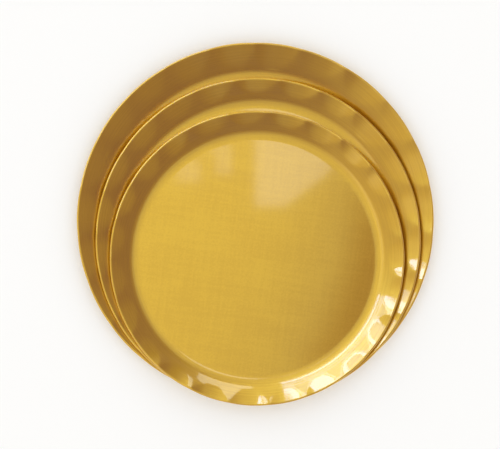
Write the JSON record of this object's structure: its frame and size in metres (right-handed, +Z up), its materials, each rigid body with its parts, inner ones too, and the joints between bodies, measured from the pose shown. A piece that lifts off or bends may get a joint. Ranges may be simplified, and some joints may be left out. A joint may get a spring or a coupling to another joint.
{
  "type": "offering plate",
  "caption": "Nested set of round brass offering plates with flat satin floors and shallow, fluted lips; each smaller plate lifts out of the one below.",
  "frame": {"origin": "centre of the large plate's flat underside, on the surface that the set stands on", "axes": "+Z up, square to the large plate's floor; the smaller plates are pushed towards -Y"},
  "size_m": [0.3048, 0.309, 0.02],
  "materials": {
    "brass": "satin, finely brushed across the floor, brighter on the lip and the rounded rim"
  },
  "bodies": {
    "large": {"large_plate": "brass"},
    "medium": {"medium_plate": "brass"},
    "small": {"small_plate": "brass"}
  },
  "joints": [
    {"name": "medium_lift", "type": "slide", "parent": "large", "child": "medium", "axis": [0, 0, 1], "range_m": [0, 0.05]},
    {"name": "small_lift", "type": "slide", "parent": "medium", "child": "small", "axis": [0, 0, 1], "range_m": [0, 0.05]}
  ]
}
